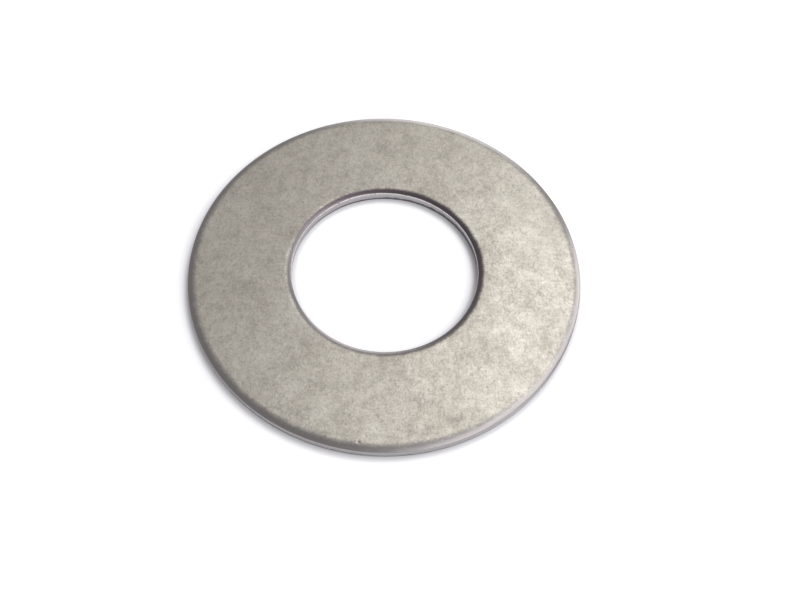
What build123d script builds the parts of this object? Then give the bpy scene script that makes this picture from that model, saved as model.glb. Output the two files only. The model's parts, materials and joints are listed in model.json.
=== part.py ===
"""Flat shim ring, blanked and pierced from 1.25 mm steel sheet and tumbled.

The ring is one piece. It lies on its burr side, with its rolled side up.
Frame: Z is the ring's axis, and the origin is on that axis in the bottom face.

Blanking leaves the same three zones on the rim and in the bore, from the top down:
a shallow rolled-in corner, a bright land sheared parallel to the axis, and a breakout
where the sheet tore and leans back into the ring. The roll is tangent to the face and
meets the land at an angle, with a small blend on that edge. The punch that pierces the
bore is tighter in its die, so the bore's roll is the smaller one. Tumbling has rounded
the burr at the foot of both.
"""

import os

from build123d import *

# Driving dimensions, in millimetres
outside_diameter = 36.0
bore_diameter = 17.2
thickness = 1.25

rim_roll_width = 0.85  # how far the rim's rolled corner reaches in over the face
rim_roll_depth = 0.24  # how far it reaches down the rim
bore_roll_width = 0.66  # how far the bore's rolled corner reaches out over the face
bore_roll_depth = 0.2  # how far it reaches down the bore
roll_blend = 0.1  # radius on the edge between each rolled corner and its land
land_height = 0.5  # bright sheared band under each rolled corner
breakout = 0.05  # how far the torn band leans back by the time it reaches the foot
foot_radius = 0.12  # tumbled corner at the foot

# Corners that follow from them, as radius and height
rim_radius = outside_diameter / 2
bore_radius = bore_diameter / 2
rim_land_top = (rim_radius, thickness - rim_roll_depth)
bore_land_top = (bore_radius, thickness - bore_roll_depth)


def blanked_side(land_top, roll_width, outward):
    """Draw one blanked side in the open BuildLine. outward is 1 on the rim, -1 in the bore."""
    wall_radius, land_top_height = land_top
    face_end = (wall_radius - outward * roll_width, thickness)
    land_foot = (wall_radius, land_top_height - land_height)
    TangentArc(face_end, land_top, tangent=(outward, 0))
    Line(land_top, land_foot)
    Line(land_foot, (wall_radius - outward * breakout, 0))


# The ring's section, turned about its axis
with BuildPart() as shim_ring:
    with BuildSketch(Plane.XZ) as section:
        with BuildLine():
            blanked_side(rim_land_top, rim_roll_width, outward=1)
            blanked_side(bore_land_top, bore_roll_width, outward=-1)
            face_inside, face_outside = bore_radius + bore_roll_width, rim_radius - rim_roll_width
            Line((face_inside, thickness), (face_outside, thickness))
            Line((bore_radius + breakout, 0), (rim_radius - breakout, 0))
        make_face()
        land_edges = [
            section.vertices().sort_by_distance(land_top)[0]
            for land_top in (rim_land_top, bore_land_top)
        ]
        fillet(land_edges, radius=roll_blend)
    revolve(axis=Axis.Z)
    foot_edges = shim_ring.faces().sort_by(Axis.Z)[0].edges()
    fillet(foot_edges, radius=foot_radius)

shim_ring.part.label = "shim_ring"

os.makedirs("parts", exist_ok=True)
export_step(shim_ring.part, "parts/shim_ring.step")
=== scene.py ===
"""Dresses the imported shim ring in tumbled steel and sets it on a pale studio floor.

The ring is one mesh piece with the section that its maker's press leaves: a rolled
corner, a bright sheared land, a torn band and a tumbled foot, on the rim and in the bore.
"""

import json
import math

import bpy
import numpy as np
from mathutils import Euler, Matrix, Vector


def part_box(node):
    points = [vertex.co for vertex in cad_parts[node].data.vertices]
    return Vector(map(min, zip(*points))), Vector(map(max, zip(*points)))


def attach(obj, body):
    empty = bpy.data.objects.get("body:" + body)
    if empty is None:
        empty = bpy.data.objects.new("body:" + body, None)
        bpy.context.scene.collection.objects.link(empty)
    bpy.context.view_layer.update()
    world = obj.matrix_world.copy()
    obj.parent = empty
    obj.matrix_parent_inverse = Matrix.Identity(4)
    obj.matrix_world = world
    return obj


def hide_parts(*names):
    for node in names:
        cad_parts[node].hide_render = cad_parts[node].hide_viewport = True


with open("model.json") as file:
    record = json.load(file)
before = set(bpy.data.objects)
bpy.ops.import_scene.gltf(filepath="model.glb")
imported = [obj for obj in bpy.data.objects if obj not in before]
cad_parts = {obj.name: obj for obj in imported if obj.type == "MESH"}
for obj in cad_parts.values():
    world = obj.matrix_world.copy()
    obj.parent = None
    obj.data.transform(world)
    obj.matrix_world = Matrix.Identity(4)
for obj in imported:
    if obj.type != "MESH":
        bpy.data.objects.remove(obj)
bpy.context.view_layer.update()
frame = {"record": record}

bl_info = {
    "name": "Tumbled Shim Ring",
    "version": (1, 0, 0),
    "blender": (4, 5, 0),
    "location": "3D View > Sidebar > Shim Ring",
    "description": "Builds a blanked and tumbled steel shim ring and a studio to show it in",
    "category": "Object",
}

MM = 0.001

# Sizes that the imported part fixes
ring_low, ring_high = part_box("shim_ring")
bore_mount = next(m for m in frame["record"]["mounts"] if m["name"] == "bore")
RIM_RADIUS = max(ring_high.x, ring_high.y)
BORE_RADIUS = bore_mount["dims"]["r_mm"] * MM
THICKNESS = ring_high.z - ring_low.z


def length(name, description, default):
    return bpy.props.FloatProperty(
        name=name, description=description, default=default, min=0.0, precision=5, unit="LENGTH"
    )


def share(name, description, default):
    return bpy.props.FloatProperty(
        name=name, description=description, default=default, min=0.0, max=1.0, subtype="FACTOR"
    )


def colour(name, description, default):
    return bpy.props.FloatVectorProperty(
        name=name,
        description=description,
        default=default,
        size=3,
        min=0.0,
        max=1.0,
        subtype="COLOR",
    )


def angle(name, description, default):
    return bpy.props.FloatProperty(
        name=name, description=description, default=math.radians(default), subtype="ANGLE"
    )


def level(name, description, default):
    return bpy.props.FloatProperty(name=name, description=description, default=default, min=0.0)


def count(name, description, default):
    return bpy.props.IntProperty(name=name, description=description, default=default, min=3)


class ShimRingSizes(bpy.types.PropertyGroup):
    rim_radius: length("Rim radius", "Radius of the ring's outside", RIM_RADIUS)
    bore_radius: length("Bore radius", "Radius of the hole at its land", BORE_RADIUS)
    thickness: length("Thickness", "Thickness of the sheet", THICKNESS)
    roll_width: length("Rim roll width", "Reach of the rim's roll over the face", 0.85 * MM)
    roll_depth: length("Rim roll depth", "Reach of the rim's roll down the side", 0.24 * MM)
    bore_roll_width: length("Bore roll width", "Reach of the bore's roll over the face", 0.66 * MM)
    bore_roll_depth: length("Bore roll depth", "Reach of the bore's roll down the bore", 0.2 * MM)
    roll_blend: length("Roll blend", "Radius between each roll and its land", 0.1 * MM)
    land_height: length("Land height", "Height of the bright sheared band", 0.5 * MM)
    breakout: length("Breakout", "How far the torn band leans back at the foot", 0.05 * MM)
    foot_radius: length("Foot radius", "Radius of the tumbled corner at the foot", 0.12 * MM)
    corner_wander: share("Corner wander", "How much the corners' reach varies round the ring", 0.05)
    ragged_edge: length("Ragged edge", "Unevenness of the corners' line on the face", 0.04 * MM)
    land_wander: share("Land wander", "How much the land's height varies round the ring", 0.3)
    # The land's lean is painted light and shade: walls that face the lamps get more of the lighter
    # land, walls away from them more of the dark torn band
    land_lean_to_lamps: share("Land lean", "Share of its height the land gains on its taller side", 0.6)
    land_lamp_bearing: angle("Taller land", "Bearing where the rim's land is tallest", 320.0)
    tear_depth: length("Tear depth", "Depth of the roughness in the torn band", 0.012 * MM)
    face_wave: length("Face wave", "Depth of the slow unevenness of the faces", 0.003 * MM)
    short_wave: length("Short wave", "Length of the shortest waves on the faces", 2.5 * MM)
    long_wave: length("Long wave", "Length of the longest waves on the faces", 9 * MM)
    wave_count: count("Waves", "Number of slow waves over the faces", 24)
    dent_depth: length("Dent depth", "Depth of the knocks that tumbling leaves", 0.01 * MM)
    face_knock: length("Face knock", "Reach of the widest knocks on the faces", 0.5 * MM)
    face_knocks: count("Face knocks", "Number of knocks over the faces", 90)
    edge_knock: length("Edge knock", "Reach of the widest knocks along the rolls", 0.25 * MM)
    edge_stray: length("Edge stray", "How far those lie from where roll and face meet", 0.2 * MM)
    rim_knocks: count("Rim knocks", "Number of knocks along the rim's roll", 44)
    bore_knocks: count("Bore knocks", "Number of knocks along the bore's roll", 26)
    nick_bearing: angle("Nick bearing", "Where the nick by the rim lies, from the X axis", 263.7)
    nick_inset: length("Nick inset", "How far in from the rim the nick lies", 0.74 * MM)
    nick_width: length("Nick width", "Width of the nick", 0.32 * MM)
    nick_depth: length("Nick depth", "Depth of the nick", 0.07 * MM)
    segments: count("Segments", "Number of steps round the ring", 940)
    face_steps: count("Face steps", "Number of steps across the top face", 38)
    underside_steps: count("Underside steps", "Number of steps across the bottom face", 12)


class TumbledSteelFinish(bpy.types.PropertyGroup):
    face_colour: colour("Face", "Reflection colour of the tumbled faces", (0.70, 0.67, 0.592))
    stain_colour: colour("Stain", "Duller colour of the patches between", (0.385, 0.357, 0.30))
    pit_colour: colour("Pits", "Colour at the foot of the small pits", (0.19, 0.17, 0.155))
    # Both rolls' colours are painted shade, darker than the steel; the bore roll's colour is the
    # darkest
    rim_roll_painted_shade: colour("Rim roll", "Colour of the rim's rolled corner", (0.31, 0.293, 0.285))
    bore_roll_painted_shade: colour("Bore roll", "Colour of the bore's dirty roll", (0.13, 0.109, 0.118))
    # The land's and the torn band's colours are their own tones darkened with painted shade
    land_tone_and_shade: colour("Land", "Colour of the bright sheared band", (0.42, 0.405, 0.416))
    # The rubbed edge's colour is lighter than the faces: a painted highlight on a rubbed edge
    edge_rub_and_highlight: colour("Rubbed edge", "Colour of the edge below the roll", (0.80, 0.775, 0.74))
    torn_tone_and_shade: colour("Torn band", "Colour of the torn band", (0.17, 0.15, 0.158))
    face_roughness: share("Face roughness", "Roughness of the tumbled faces", 0.40)
    roll_roughness: share("Roll roughness", "Roughness of the rolled corners", 0.34)
    land_roughness: share("Land roughness", "Roughness of the sheared band", 0.25)
    torn_roughness: share("Torn roughness", "Roughness of the torn band", 0.36)
    grain_size: length("Grain size", "Spacing of the speckle on the faces", 0.2 * MM)
    grain_depth: length("Grain depth", "Depth of the speckle on the faces", 0.004 * MM)
    grain_contrast: share("Grain contrast", "Strength of the speckle's colour", 0.47)
    scratch_depth: length("Scratch depth", "Depth of the fine scratches", 0.002 * MM)
    drag_depth: length("Drag depth", "Depth of the upright marks on the sheared band", 0.004 * MM)


class StudioSetting(bpy.types.PropertyGroup):
    floor_colour: colour("Floor", "Colour of the floor", (0.88, 0.88, 0.89))
    floor_glow: level("Floor glow", "White that the floor shows by itself away from the ring", 0.3)
    sky_colour: colour("Sky", "Colour of the room's light from all round", (0.98, 0.95, 0.975))
    sky_strength: level("Sky strength", "Strength of the room's light", 0.45)
    lamp_colour: colour("Lamps", "Colour of the lamps", (0.98, 0.985, 1.0))
    floor_reach: length("Floor reach", "Half the width of the floor", 1.5)
    camera_distance: length("Camera distance", "From the ring's centre to the camera", 91.973 * MM)
    camera_height: angle("Camera elevation", "Height of the camera above the floor", 58.171)
    camera_roll: angle("Camera roll", "How far the camera is turned about its view", 2.628)
    camera_lens: level("Camera lens", "Focal length in millimetres on a 36 mm sensor", 44.4915)


# What a point of the mesh carries for the steel, as shares of 0 to 1
MARKS = ("roll", "land", "torn", "nick_mark")

# Way across the ring to the side of the bore whose roll faces away from the lamps, where it gets
# its darkest painted shade
AWAY_FROM_LAMPS = (math.cos(math.radians(60)), math.sin(math.radians(60)), 0.0)

# Sizes on the tumbled faces, in grains: the widest patches, the spacing of the pits, and the
# width and length of the two kinds of scratch
PATCH = 14
PIT_SPACING = 1 / 0.6
HAIRLINE = (0.5, 7)
SCUFF = (0.8, 2.2)

# Headings of the scratches in degrees, and how strong each heading is
SCRATCH_HEADINGS = ((17, 0.6), (64, 0.9), (98, 1.0), (131, 0.6), (167, 0.7))

# Place on the floor that the camera looks at
CAMERA_TARGET = (1.441 * MM, -2.687 * MM, 0)

# Name, then in degrees and metres the bearing from the X axis, the elevation, the distance and
# half the angle that it covers as seen from the ring, and then brightness
LAMPS = (
    ("key", 60.0, 58.0, 0.3, 9.0, 2.28),
    ("high", 75.0, 70.0, 0.6, 9.0, 1.1),
    ("back_side", 30.0, 24.0, 0.6, 12.0, 3.4),
    ("back_low", 80.0, 9.0, 0.6, 15.0, 2.2),
    ("side_high", 0.0, 50.0, 0.2, 16.0, 2.3),
    ("front_high", 315.0, 50.0, 0.2, 15.0, 1.8),
    ("front", 300.0, 28.0, 0.6, 16.0, 2.3),
    ("skim", 330.0, 7.0, 0.6, 7.0, 4.0),
)


def settings():
    """The three property groups that hang on the scene."""
    scene = bpy.context.scene
    return scene.shim_ring_sizes, scene.tumbled_steel_finish, scene.studio_setting


# ---------------------------------------------------------------- the ring's mesh


def wander(rng, angles, slowest, fastest):
    """A seeded wave round the ring, between about -1 and 1, of the given numbers of turns."""
    turns = np.arange(slowest, fastest + 1)
    phases = rng.uniform(0, 2 * np.pi, len(turns))
    waves = np.cos(np.outer(angles, turns) + phases)
    return waves.sum(axis=1) / math.sqrt(2 * len(turns))


def rolled_corner(width, depth, blend, steps=12):
    """A roll as reach over the face and depth down the side: an arc tangent to the face that
    meets the wall at an angle, with a blend on that edge."""
    radius = (width**2 + depth**2) / (2 * depth)
    met = math.asin((width - blend) / (radius - blend))
    blend_depth = radius - (radius - blend) * math.cos(met)
    arc = np.linspace(0, met, steps)
    edge = np.linspace(met, math.pi / 2, 5)[1:]
    reach = np.concatenate([width - radius * np.sin(arc), blend * (1 - np.sin(edge))])
    down = np.concatenate([radius * (1 - np.cos(arc)), blend_depth - blend * np.cos(edge)])
    return reach, down


class Side:
    """One side of the ring: rows of radius, height and MARKS from the top face to the bottom."""

    def __init__(self, sizes, angles, rng, outward):
        self.sizes, self.angles, self.rng, self.outward = sizes, angles, rng, outward
        self.rows = []
        if outward > 0:
            self.wall = sizes.rim_radius
            corner = rolled_corner(sizes.roll_width, sizes.roll_depth, sizes.roll_blend)
        else:
            self.wall = sizes.bore_radius
            corner = rolled_corner(sizes.bore_roll_width, sizes.bore_roll_depth, sizes.roll_blend)
        tear_top = sizes.thickness - sizes.land_height - corner[1][-1]
        lean = math.atan2(sizes.breakout, tear_top)
        self.add_roll(*corner)
        land_foot = self.add_land(tear_top)
        self.add_torn_band(land_foot, tear_top, lean)
        self.add_foot(lean)
        self.rows = np.array(self.rows)

    def row(self, reach, height, roll, land=0.0, torn=0.0):
        """Adds a row, reach being how far in from the wall it lies."""
        values = (self.wall - self.outward * reach, height, roll, land, torn)
        self.rows.append([np.broadcast_to(value, len(self.angles)) for value in values])

    def wander(self, slowest, fastest):
        return wander(self.rng, self.angles, slowest, fastest)

    def add_roll(self, reaches, depths):
        """The rolled corner. Its line on the face is ragged."""
        sizes = self.sizes
        slow, ragged = self.wander(3, 40), self.wander(60, 300)
        reach_share = 1 + sizes.corner_wander * slow
        depth_share = 1 + 0.5 * sizes.corner_wander * self.wander(2, 30)
        for number, (reach, depth) in enumerate(zip(reaches, depths)):
            done = number / (len(reaches) - 1)
            torn_edge = sizes.ragged_edge * ragged * max(0.0, 1 - 4 * done)
            height = sizes.thickness - depth * depth_share
            self.row(reach * reach_share + torn_edge, height, roll=done)

    def add_land(self, tear_top):
        """The sheared land. It is taller on the walls that face the lamps, so that its lighter band
        and the dark torn band below paint light and shade on the walls.
        """
        sizes = self.sizes
        land_top = self.rows[-1][1]
        jagged = 0.5 * self.wander(4, 60) + 0.5 * self.wander(60, 300)
        towards_lamps = self.outward * np.cos(self.angles - sizes.land_lamp_bearing)
        taller = sizes.land_lean_to_lamps * towards_lamps + sizes.land_wander * jagged
        tallest = tear_top - 2.2 * sizes.foot_radius
        land_foot = tear_top - (sizes.land_height * taller).clip(-0.9 * sizes.land_height, tallest)
        for part in (0.1, 0.5, 0.9, 1.0):
            self.row(0.0, land_top + (land_foot - land_top) * part, 1.0, 1.0, float(part == 1.0))
        return land_foot

    def add_torn_band(self, land_foot, tear_top, lean):
        """The torn band. It leans back to the foot's corner, and is rough all the way down."""
        sizes = self.sizes
        corner_top = sizes.foot_radius * (1 + math.sin(lean))
        for part in np.linspace(0, 1, 6)[1:]:
            height = land_foot + (corner_top - land_foot) * part
            back = sizes.breakout * (1 - height / tear_top)
            tear = 0.5 * sizes.tear_depth * (1 + 0.6 * self.wander(30, 340))
            self.row(back.clip(0) + tear * min(1.0, 3 * part), height, 1.0, 0.0, 1.0)

    def add_foot(self, lean):
        """The tumbled corner at the foot, down to the bottom face."""
        foot, tear_depth = self.sizes.foot_radius, self.sizes.tear_depth
        corner_in = self.sizes.breakout + foot * (1 / math.cos(lean) - math.tan(lean))
        for part in np.linspace(0, 1, 5)[1:]:
            turn = lean + part * (math.pi / 2 - lean)
            reach = corner_in - foot * math.cos(turn) + 0.5 * tear_depth * (1 - part)
            self.row(reach, foot * (1 - math.sin(turn)), 1.0 - part, 0.0, 1.0 - part)


def face_rows(inner, outer, steps):
    """Rows of a flat face between two sides' rows, without the ends and closer towards them."""
    even = np.arange(1, steps) / steps
    shares = 0.5 * even + 0.25 * (1 - np.cos(np.pi * even))
    return np.array([inner + (outer - inner) * part for part in shares])


def knocks(rng, xy, number, reach, near, far):
    """Round dents as a depth of 0 to 1 at each point of xy."""
    depth = np.zeros(xy.shape[:-1])
    for _ in range(number):
        radius, bearing = rng.uniform(near, far), rng.uniform(0, 2 * np.pi)
        size = rng.uniform(0.5, 1.0) * reach
        depth = np.maximum(depth, rng.uniform(0.4, 1.0) * dent(xy, radius, bearing, size))
    return depth


def dent(xy, radius, bearing, size):
    """One round dent of depth 1, fading out about size away from its middle."""
    centre = np.array([radius * math.cos(bearing), radius * math.sin(bearing)])
    return np.exp(-2 * (np.linalg.norm(xy - centre, axis=-1) / size) ** 2)


def tumbled_low(sizes, rng, xy, radius):
    """How far tumbling has worn and knocked the faces and their edges down at each point."""
    near, far = sizes.bore_radius, sizes.rim_radius
    waves = 0.0
    for _ in range(sizes.wave_count):
        way, phase = rng.uniform(0, 2 * np.pi, 2)
        along = xy @ np.array([math.cos(way), math.sin(way)])
        wave_length = rng.uniform(sizes.short_wave, sizes.long_wave)
        waves = waves + np.sin(2 * np.pi * along / wave_length + phase)
    low = sizes.face_wave * (1 - waves / math.sqrt(3 * sizes.wave_count)).clip(0, 2)
    low = low + sizes.dent_depth * knocks(
        rng, xy, sizes.face_knocks, sizes.face_knock, near, far
    )
    low = low * np.clip(np.minimum(far - radius, radius - near) / sizes.roll_width, 0, 1)
    roll_starts = (
        (far - sizes.roll_width, sizes.rim_knocks),
        (near + sizes.bore_roll_width, sizes.bore_knocks),
    )
    stray = sizes.edge_stray
    for edge, number in roll_starts:
        chips = knocks(rng, xy, number, sizes.edge_knock, edge - stray, edge + stray)
        low = low + sizes.dent_depth * chips
    return low


def ring_points(sizes):
    """Points in rows round the ring and from row to row round its section, and their MARKS."""
    rng = np.random.default_rng(18)
    angles = np.arange(sizes.segments) * 2 * np.pi / sizes.segments
    rim = Side(sizes, angles, rng, outward=1).rows
    bore = Side(sizes, angles, rng, outward=-1).rows
    top = face_rows(bore[0], rim[0], sizes.face_steps)
    bottom = face_rows(rim[-1], bore[-1], sizes.underside_steps)
    rows = np.concatenate([top, rim, bottom, bore[::-1]])
    radius, height, roll, land, torn = (rows[:, column] for column in range(5))
    xy = np.stack([radius * np.cos(angles), radius * np.sin(angles)], axis=-1)

    # Wear and knocks go into the metal: down from the top face, and up from the bottom one
    low = tumbled_low(sizes, rng, xy, radius)
    on_top = np.clip((height / sizes.thickness - 0.5) * 4, 0, 1)
    on_bottom = (1 - on_top) * (height < 0.3 * sizes.thickness)
    nick_radius = sizes.rim_radius - sizes.nick_inset
    nick = on_top * dent(xy, nick_radius, sizes.nick_bearing, 0.5 * sizes.nick_width)
    height += low * on_bottom - low * on_top - sizes.nick_depth * nick
    return np.dstack([xy, height]), (roll, land, torn, nick)


def build_ring_mesh(sizes):
    points, marks = ring_points(sizes)
    bands, around, _ = points.shape
    here = np.arange(bands * around).reshape(bands, around)
    right = np.roll(here, -1, axis=1)
    down, down_right = np.roll(here, -1, axis=0), np.roll(right, -1, axis=0)
    quads = np.stack([here, down, down_right, right], axis=-1).reshape(-1, 4)
    mesh = bpy.data.meshes.new("shim_ring_tumbled")
    mesh.from_pydata(points.reshape(-1, 3).tolist(), [], quads.tolist())
    mesh.update()
    mesh.shade_smooth()
    for name, mark in zip(MARKS, marks):
        values = mesh.attributes.new(name, "FLOAT", "POINT")
        values.data.foreach_set("value", mark.reshape(-1).astype(np.float32))
    return mesh


# ---------------------------------------------------------------- the steel


class Wire:
    """An output socket. Sums on it add Math nodes to its tree."""

    def __init__(self, tree, socket):
        self.tree, self.socket = tree, socket

    def math(self, operation, *values):
        return self.tree.node("ShaderNodeMath", {"operation": operation}, values)

    def __add__(self, other):
        return self.math("ADD", self, other)

    def __radd__(self, other):
        return self.math("ADD", other, self)

    def __sub__(self, other):
        return self.math("SUBTRACT", self, other)

    def __rsub__(self, other):
        return self.math("SUBTRACT", other, self)

    def __mul__(self, other):
        return self.math("MULTIPLY", self, other)

    def __rmul__(self, other):
        return self.math("MULTIPLY", other, self)


class ShaderTree:
    """A node tree that grows by one method."""

    def __init__(self, owner):
        owner.use_nodes = True
        self.tree = owner.node_tree
        self.tree.nodes.clear()

    def node(self, kind, settings=None, inputs=(), output=0):
        """Adds a node: its settings first, then its sockets' values or links, by place or name."""
        node = self.tree.nodes.new(kind)
        for name, value in (settings or {}).items():
            setattr(node, name, value)
        pairs = inputs.items() if isinstance(inputs, dict) else enumerate(inputs)
        for key, value in pairs:
            if isinstance(value, Wire):
                self.tree.links.new(value.socket, node.inputs[key])
            else:
                node.inputs[key].default_value = value
        return Wire(self, node.outputs[output]) if node.outputs else node

    def step(self, value, start, end):
        """A smooth step of value from 0 at start to 1 at end."""
        return self.node(
            "ShaderNodeMapRange",
            {"interpolation_type": "SMOOTHSTEP"},
            {"Value": value, "From Min": start, "From Max": end},
        )

    def mix(self, amount, first, second):
        """A colour between two colours."""
        first, second = (c if isinstance(c, Wire) else (*c, 1.0) for c in (first, second))
        return self.node(
            "ShaderNodeMix", {"data_type": "RGBA"}, {0: amount, 6: first, 7: second}, output=2
        )

    def noise(self, place, size, detail=2.0, rough=0.5):
        """Even noise of 0 to 1 with lumps of about the given size."""
        inputs = {"Vector": place, "Scale": 1 / size, "Detail": detail, "Roughness": rough}
        return self.node("ShaderNodeTexNoise", None, inputs)


def scratches(tree, place, size, start, end):
    """Fine straight scratches in several directions, as a mask of 0 to about 1."""
    width, reach = size
    total = 0.0
    for heading, strength in SCRATCH_HEADINGS:
        turned = tree.node(
            "ShaderNodeVectorRotate",
            {"rotation_type": "Z_AXIS"},
            {"Vector": place, "Angle": math.radians(-heading)},
        )
        drawn_out = tree.node(
            "ShaderNodeVectorMath",
            {"operation": "MULTIPLY_ADD"},
            (turned, (width / reach, 1, 1), (heading, 0, 0)),
        )
        streaks = tree.noise(drawn_out, width, 1.0)
        total = total + tree.step(streaks, start, end) * strength
    return total


def small_pits(tree, place, spacing):
    """Round spots of about the given spacing, of which about a third are kept."""
    cells = {"Vector": place, "Scale": 1 / spacing, "Randomness": 1.0}
    from_middle = tree.node("ShaderNodeTexVoronoi", None, cells)
    own_colour = tree.node("ShaderNodeTexVoronoi", None, cells, "Color")
    kept = tree.node("ShaderNodeSeparateColor", None, (own_colour,))
    return (1 - tree.step(from_middle, 0.10, 0.45)) * tree.step(kept, 0.6, 0.9)


def roll_colour(tree, place, finish):
    """The rolls' colour, which is painted shade, darkest on the side of the bore that faces away
    from the lamps, and a share of 0 in the bore to 1 at the rim."""
    flat = tree.node("ShaderNodeVectorMath", {"operation": "MULTIPLY"}, (place, (1, 1, 0)))
    radius = tree.node("ShaderNodeVectorMath", {"operation": "LENGTH"}, (flat,), "Value")
    by_rim = tree.step(radius, BORE_RADIUS, RIM_RADIUS)
    across = tree.node(
        "ShaderNodeVectorMath", {"operation": "DOT_PRODUCT"}, (flat, AWAY_FROM_LAMPS), "Value"
    )
    # Painted shade: the bore's roll darkens towards the side that faces away from the lamps
    shade_share = tree.step(across, -2 * BORE_RADIUS, 1.2 * BORE_RADIUS)
    in_bore = tree.mix(shade_share, finish.rim_roll_painted_shade, finish.bore_roll_painted_shade)
    return tree.mix(by_rim, in_bore, finish.rim_roll_painted_shade), by_rim


def tumbled_steel(finish):
    """Speckled faces, rolls darkened with painted shade, a sheared land and a dark torn band
    that both carry painted shade, and a painted highlight on the bore's rubbed edge.
    """
    material = bpy.data.materials.new("tumbled_steel")
    tree = ShaderTree(material)
    place = tree.node("ShaderNodeTexCoord", None, (), "Object")
    roll, land, torn, nick_mark = (
        tree.node("ShaderNodeAttribute", {"attribute_name": name}, (), "Fac") for name in MARKS
    )
    grain = finish.grain_size

    # Mottling of every size from the patches down to the grain, then the grain, its small dark
    # pits, the scratches, and the upright marks that the punch dragged down the land
    mottle = tree.noise(place, PATCH * grain, 4.5, 0.9)
    speckle = tree.noise(place, grain, 1.0, 0.7)
    pits = small_pits(tree, place, PIT_SPACING * grain)
    hairlines = scratches(tree, place, [side * grain for side in HAIRLINE], 0.60, 0.74)
    scuffs = scratches(tree, place, [side * grain for side in SCUFF], 0.52, 0.72)
    upright = tree.node(
        "ShaderNodeVectorMath", {"operation": "MULTIPLY"}, (place, (1.0, 1.0, 0.12))
    )
    drag = tree.noise(upright, 0.6 * grain, 2.0, 0.6)

    # Where each zone of the section shows. The grain breaks up the zones' borders, the rolls'
    # # painted shade deepens towards the walls, and the bore's rubbed edge under its roll gets a
    # painted highlight
    roll_shade, by_rim = roll_colour(tree, place, finish)
    roll_shade_reach = roll * (1.15 - by_rim * 0.15) + (speckle - 0.5) * 0.3 + (mottle - 0.5) * 0.5
    on_roll = tree.step(roll_shade_reach, -0.02, 0.5)
    # Painted highlight along the bore's rubbed edge under its roll, in beads where the grain allows
    on_edge_highlight = tree.step(roll, 0.78, 0.9) * tree.step(speckle, 0.2, 0.55) * (1 - by_rim)
    on_land = tree.step(land + (drag - 0.5) * 0.6, 0.4, 0.7)
    on_tear = tree.step(torn + (speckle - 0.5) * 0.5, 0.3, 0.6)
    # The nick is darkened
    on_nick_mark = tree.step(nick_mark, 0.1, 0.9) * 0.8

    # Shares that each kind of unevenness has in the dullness of the faces
    dull = (mottle - 0.5) * 6.0 + (speckle - 0.5) * 1.6 + (scuffs - 0.55) * 0.7 + hairlines * 0.2
    dull = 0.5 + dull * finish.grain_contrast
    shade = tree.mix(tree.step(dull, -0.6, 1.6), finish.face_colour, finish.stain_colour)
    zones = (
        (pits * 0.2, finish.pit_colour),
        (on_roll, roll_shade),
        (on_edge_highlight, finish.edge_rub_and_highlight),
        (on_land, finish.land_tone_and_shade),
        (on_tear, finish.torn_tone_and_shade),
        (on_nick_mark, finish.pit_colour),
    )
    for amount, zone_shade in zones:
        shade = tree.mix(amount, shade, zone_shade)

    rough = finish.face_roughness + (mottle - 0.5) * 0.3
    rough = rough + on_roll * (finish.roll_roughness - rough)
    rough = rough + on_land * (finish.land_roughness - rough)
    rough = rough + on_tear * (finish.torn_roughness - rough)

    height = (speckle + mottle * 2.0 - scuffs * 0.3 - pits * 0.3) * finish.grain_depth
    height = height - hairlines * finish.scratch_depth
    height = height + on_land * (drag - 0.5) * finish.drag_depth
    normal = tree.node(
        "ShaderNodeBump", None, {"Strength": 1.0, "Distance": 1.0, "Height": height}
    )
    steel = tree.node(
        "ShaderNodeBsdfPrincipled",
        None,
        {"Base Color": shade, "Metallic": 1.0, "Roughness": rough, "Normal": normal},
    )
    tree.node("ShaderNodeOutputMaterial", None, {"Surface": steel})
    return material


# ---------------------------------------------------------------- the operators


class SHIMRING_OT_build_ring(bpy.types.Operator):
    """Builds the ring's fine mesh and gives it the tumbled steel"""

    bl_idname = "shimring.build_ring"
    bl_label = "Build the ring"

    def execute(self, context):
        sizes, finish, _ = settings()
        mesh = build_ring_mesh(sizes)
        mesh.materials.append(tumbled_steel(finish))
        ring = bpy.data.objects.new("shim_ring_tumbled", mesh)
        context.collection.objects.link(ring)
        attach(ring, "root")
        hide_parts("shim_ring")
        return {"FINISHED"}


def floor_material(studio):
    """Pale matt floor. Away from the ring it shows white to the camera and in the metal; along the
    ring's edges that white fades out, so a painted shadow lies there.
    """
    material = bpy.data.materials.new("studio_floor")
    tree = ShaderTree(material)
    seen = tree.node("ShaderNodeLightPath", None, (), "Is Camera Ray")
    for ray in ("Is Glossy Ray", "Is Transmission Ray"):
        seen = seen + tree.node("ShaderNodeLightPath", None, (), ray)
    place = tree.node("ShaderNodeTexCoord", None, (), "Object")
    radius = tree.node("ShaderNodeVectorMath", {"operation": "LENGTH"}, (place,), "Value")
    # Painted shadow: the glow fades out in a thin band along the rim and the bore, which the metal
    # reflects too
    beyond = tree.step(radius, RIM_RADIUS, 1.04 * RIM_RADIUS)
    inside = 1 - tree.step(radius, 0.92 * BORE_RADIUS, 0.99 * BORE_RADIUS)
    glow_colour = tree.mix(beyond + inside, (0.0, 0.0, 0.0), (1.0, 1.0, 1.0))
    matt = tree.node("ShaderNodeBsdfDiffuse", None, {"Color": (*studio.floor_colour, 1.0)})
    glow = tree.node(
        "ShaderNodeEmission", None, {"Color": glow_colour, "Strength": seen * studio.floor_glow}
    )
    both = tree.node("ShaderNodeAddShader", None, (matt, glow))
    tree.node("ShaderNodeOutputMaterial", None, {"Surface": both})
    return material


def aim(thing, place, target):
    """Puts a lamp or camera at place, looking at target."""
    thing.matrix_world = Matrix.Translation(place) @ (
        (Vector(target) - Vector(place)).to_track_quat("-Z", "Y").to_matrix().to_4x4()
    )


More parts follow.
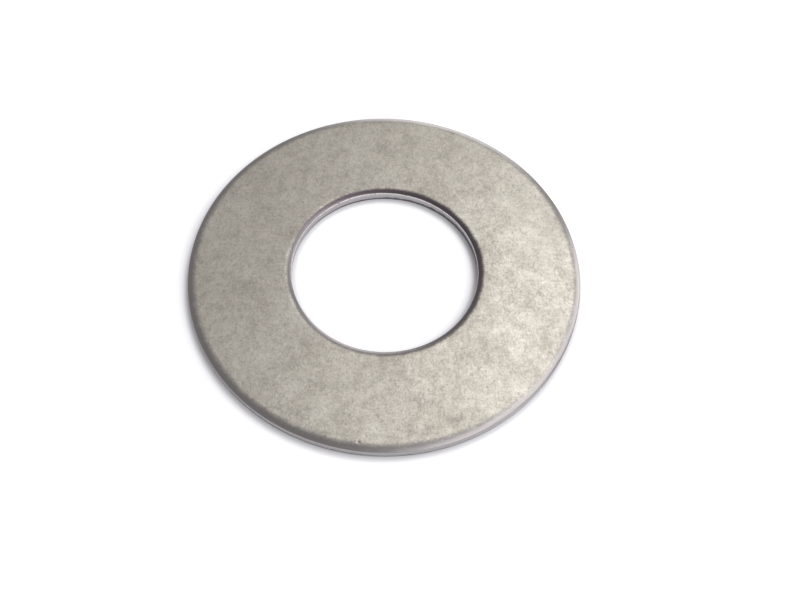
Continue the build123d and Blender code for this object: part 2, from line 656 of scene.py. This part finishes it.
def softbox(name, bearing, elevation, away, spread, brightness, shade):
    """A square lamp aimed at the ring. Its bearing is from the X axis, and its spread is half
    the angle that it covers there. At a brightness of 1 it looks white from the ring."""
    side = 2 * away * math.tan(math.radians(spread))
    lamp = bpy.data.lights.new(name, "AREA")
    lamp.size, lamp.color = side, shade
    lamp.energy = brightness * math.pi * side**2
    box = bpy.data.objects.new(name, lamp)
    bpy.context.collection.objects.link(box)
    place = Vector((away, 0, 0))
    place.rotate(Euler((0, -math.radians(elevation), math.radians(bearing))))
    aim(box, place, (0, 0, 0))


class SHIMRING_OT_set_stage(bpy.types.Operator):
    """Sets the floor, the lamps, the room's light and the camera"""

    bl_idname = "shimring.set_stage"
    bl_label = "Set the stage"

    def execute(self, context):
        _, _, studio = settings()
        reach = studio.floor_reach
        floor_mesh = bpy.data.meshes.new("studio_floor")
        corners = [(-reach, -reach), (reach, -reach), (reach, reach), (-reach, reach)]
        floor_mesh.from_pydata([(x, y, -0.01 * MM) for x, y in corners], [], [(0, 1, 2, 3)])
        floor_mesh.materials.append(floor_material(studio))
        floor = bpy.data.objects.new("studio_floor", floor_mesh)
        context.collection.objects.link(floor)

        world = bpy.data.worlds.new("studio_room")
        context.scene.world = world
        tree = ShaderTree(world)
        room = tree.node(
            "ShaderNodeBackground",
            None,
            {"Color": (*studio.sky_colour, 1.0), "Strength": studio.sky_strength},
        )
        tree.node("ShaderNodeOutputWorld", None, {"Surface": room})
        for lamp in LAMPS:
            softbox(*lamp, studio.lamp_colour)

        lens = bpy.data.cameras.new("camera")
        lens.lens, lens.sensor_width, lens.clip_start = studio.camera_lens, 36.0, 1 * MM
        camera = bpy.data.objects.new("camera", lens)
        context.collection.objects.link(camera)
        back = studio.camera_distance * math.cos(studio.camera_height)
        up = studio.camera_distance * math.sin(studio.camera_height)
        aim(camera, (0, -back, up), CAMERA_TARGET)
        camera.matrix_world = camera.matrix_world @ Matrix.Rotation(studio.camera_roll, 4, "Z")
        context.scene.camera = camera
        context.scene.view_settings.view_transform = "Standard"
        return {"FINISHED"}


class SHIMRING_PT_panel(bpy.types.Panel):
    """Lists the ring's sizes, its finish and the studio"""

    bl_idname = "SHIMRING_PT_panel"
    bl_label = "Shim Ring"
    bl_space_type = "VIEW_3D"
    bl_region_type = "UI"
    bl_category = "Shim Ring"

    def draw(self, context):
        for group, operator in zip(settings(), (None, "shimring.build_ring", "shimring.set_stage")):
            box = self.layout.box()
            for name in group.__annotations__:
                box.prop(group, name)
            if operator:
                box.operator(operator)


GROUPS = {
    "shim_ring_sizes": ShimRingSizes,
    "tumbled_steel_finish": TumbledSteelFinish,
    "studio_setting": StudioSetting,
}
CLASSES = (*GROUPS.values(), SHIMRING_OT_build_ring, SHIMRING_OT_set_stage, SHIMRING_PT_panel)


def register():
    for cls in CLASSES:
        bpy.utils.register_class(cls)
    for name, group in GROUPS.items():
        setattr(bpy.types.Scene, name, bpy.props.PointerProperty(type=group))


def unregister():
    for name in GROUPS:
        delattr(bpy.types.Scene, name)
    for cls in reversed(CLASSES):
        bpy.utils.unregister_class(cls)


def main():
    register()
    bpy.ops.shimring.build_ring()
    bpy.ops.shimring.set_stage()


if __name__ == "__main__":
    main()
